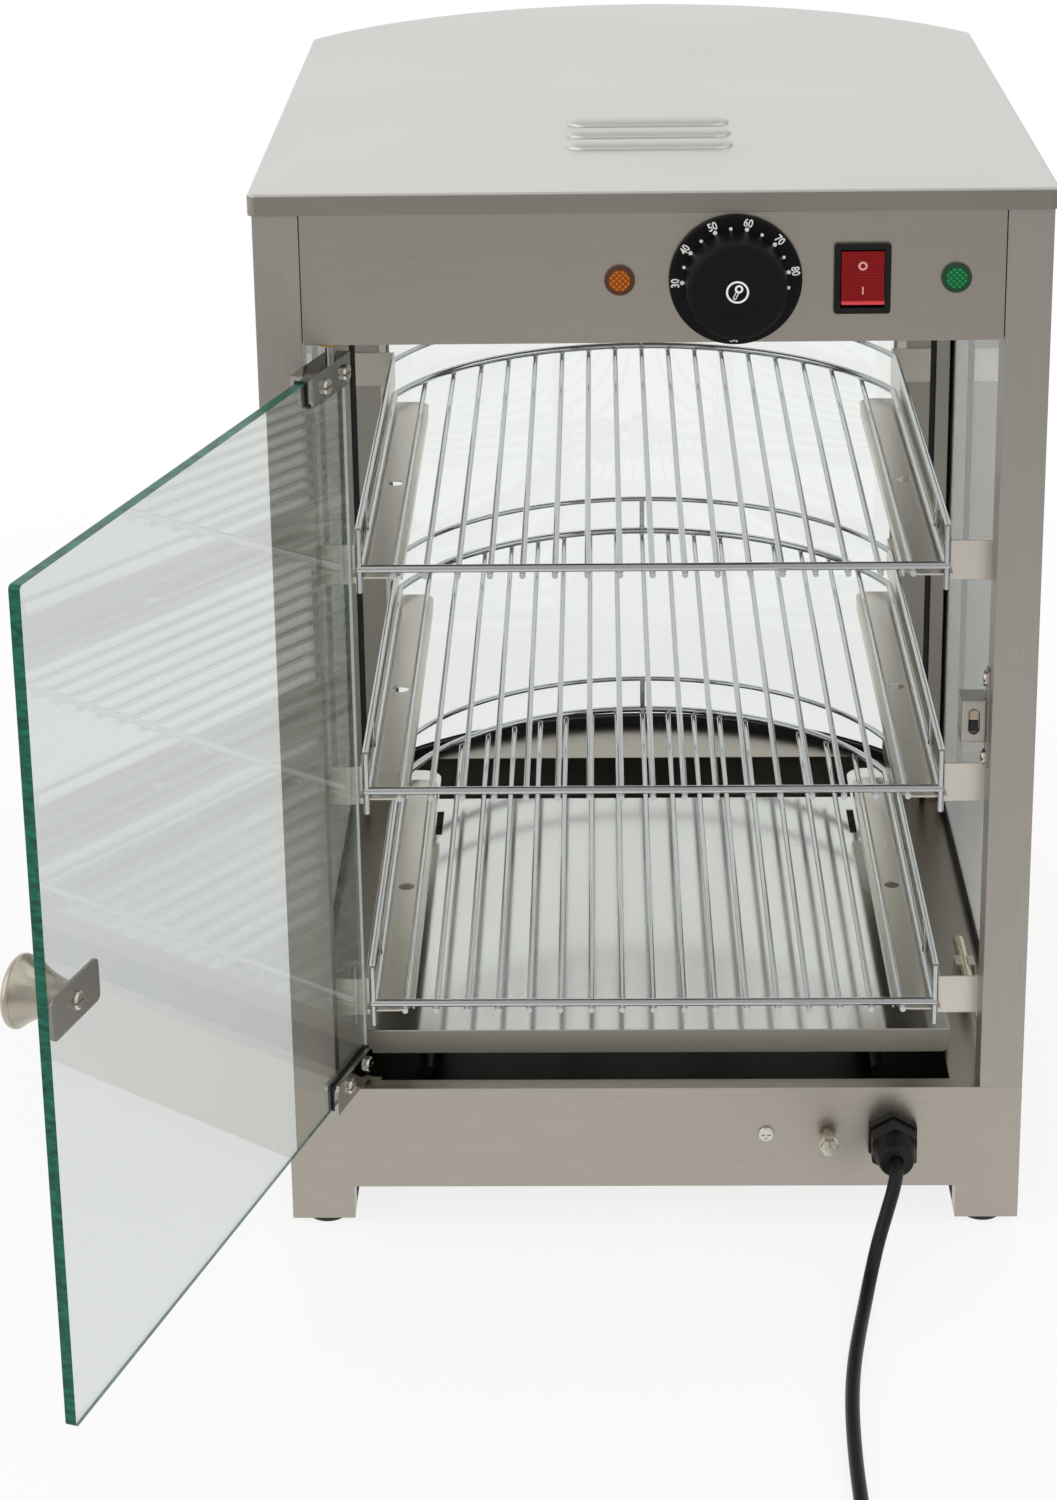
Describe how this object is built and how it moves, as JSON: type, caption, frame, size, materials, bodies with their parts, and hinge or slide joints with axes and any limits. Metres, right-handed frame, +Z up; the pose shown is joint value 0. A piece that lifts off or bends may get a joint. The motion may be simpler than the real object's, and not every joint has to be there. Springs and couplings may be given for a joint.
{
  "type": "heated display case",
  "caption": "Countertop heated glass display case with curved customer glass, wire racks, pivoting glass door, thermostat dial, rocker switch and mains lead.",
  "frame": {"origin": "on the table, under the centre of the straight part of the body", "axes": "-Y towards the operator at the door and controls, +X to the operator's right, +Z up"},
  "size_m": [0.459, 0.8483, 0.5392],
  "materials": {
    "brushed_steel": "brushed",
    "lid_steel": "satin",
    "chromed": "polished",
    "rubber": "matte",
    "glass": "clear",
    "black_plastic": "matte",
    "red_plastic": "gloss",
    "green_lens": "gloss",
    "orange_lens": "gloss",
    "wire_steel": "bright",
    "white_plastic": "matte",
    "brass": "turned",
    "element_steel": "dull"
  },
  "bodies": {
    "cabinet": {"base_fasteners": "chromed", "base_floor": "brushed_steel", "base_shell": "brushed_steel", "bulb_clip": "brushed_steel", "cable_gland": "black_plastic", "catch_screws": "chromed", "control_housing": "brushed_steel", "control_panel": "brushed_steel", "cord_coil": "rubber", "curved_glass": "glass", "curved_seals": "rubber", "element_clips": "brushed_steel", "groove_strips": "rubber", "heating_element": "element_steel", "heating_lamp_body": "black_plastic", "heating_lamp_lens": "orange_lens", "hinge_bushes": "brass", "inner_wiring": "rubber", "left_front_post": "brushed_steel", "left_rear_post": "brushed_steel", "left_side_glass": "glass", "lower_hinge_plate": "brushed_steel", "lower_left_rail": "brushed_steel", "lower_right_rail": "brushed_steel", "magnetic_catch": "white_plastic", "mains_plug": "black_plastic", "middle_left_rail": "brushed_steel", "middle_right_rail": "brushed_steel", "power_cord": "rubber", "power_lamp_body": "black_plastic", "power_lamp_lens": "green_lens", "rail_screws": "chromed", "right_front_post": "brushed_steel", "right_rear_post": "brushed_steel", "right_side_glass": "glass", "rocker_housing": "black_plastic", "rubber_feet": "rubber", "sensing_bulb": "element_steel", "side_seals": "rubber", "terminal_block": "white_plastic", "thermostat_body": "white_plastic", "top_cover": "lid_steel", "tray_cover": "brushed_steel", "upper_left_rail": "brushed_steel", "upper_right_rail": "brushed_steel"},
    "door": {"door_glass": "glass", "lower_hinge_clamp": "chromed", "upper_hinge_clamp": "chromed", "clamp_pads": "rubber", "clamp_screws": "chromed", "hinge_pins": "chromed", "door_knob": "brushed_steel", "strike_plate": "brushed_steel", "strike_screw": "chromed"},
    "thermostat_dial": {"thermostat_knob": "black_plastic", "thermostat_shaft": "chromed"},
    "rocker": {"rocker_paddle": "red_plastic"},
    "lower_rack": {"lower_rack": "wire_steel"},
    "middle_rack": {"middle_rack": "wire_steel"},
    "upper_rack": {"upper_rack": "wire_steel"}
  },
  "joints": [
    {"name": "door_hinge", "type": "hinge", "parent": "cabinet", "child": "door", "pos_m": [-0.1495, -0.18, 0.27], "axis": [0, 0, -1], "range_deg": [-108.3, 10]},
    {"name": "thermostat_turn", "type": "hinge", "parent": "cabinet", "child": "thermostat_dial", "pos_m": [0.038, -0.2, 0.494], "axis": [0, -1, 0], "range_deg": [-162.4, 96.5]},
    {"name": "rocker_tip", "type": "hinge", "parent": "cabinet", "child": "rocker", "pos_m": [0.096, -0.182, 0.494], "axis": [1, 0, 0], "range_deg": [0, 14]},
    {"name": "lower_slide", "type": "slide", "parent": "cabinet", "child": "lower_rack", "axis": [0, -1, 0], "range_m": [0, 0.2]},
    {"name": "middle_slide", "type": "slide", "parent": "cabinet", "child": "middle_rack", "axis": [0, -1, 0], "range_m": [0, 0.2]},
    {"name": "upper_slide", "type": "slide", "parent": "cabinet", "child": "upper_rack", "axis": [0, -1, 0], "range_m": [0, 0.2]}
  ]
}
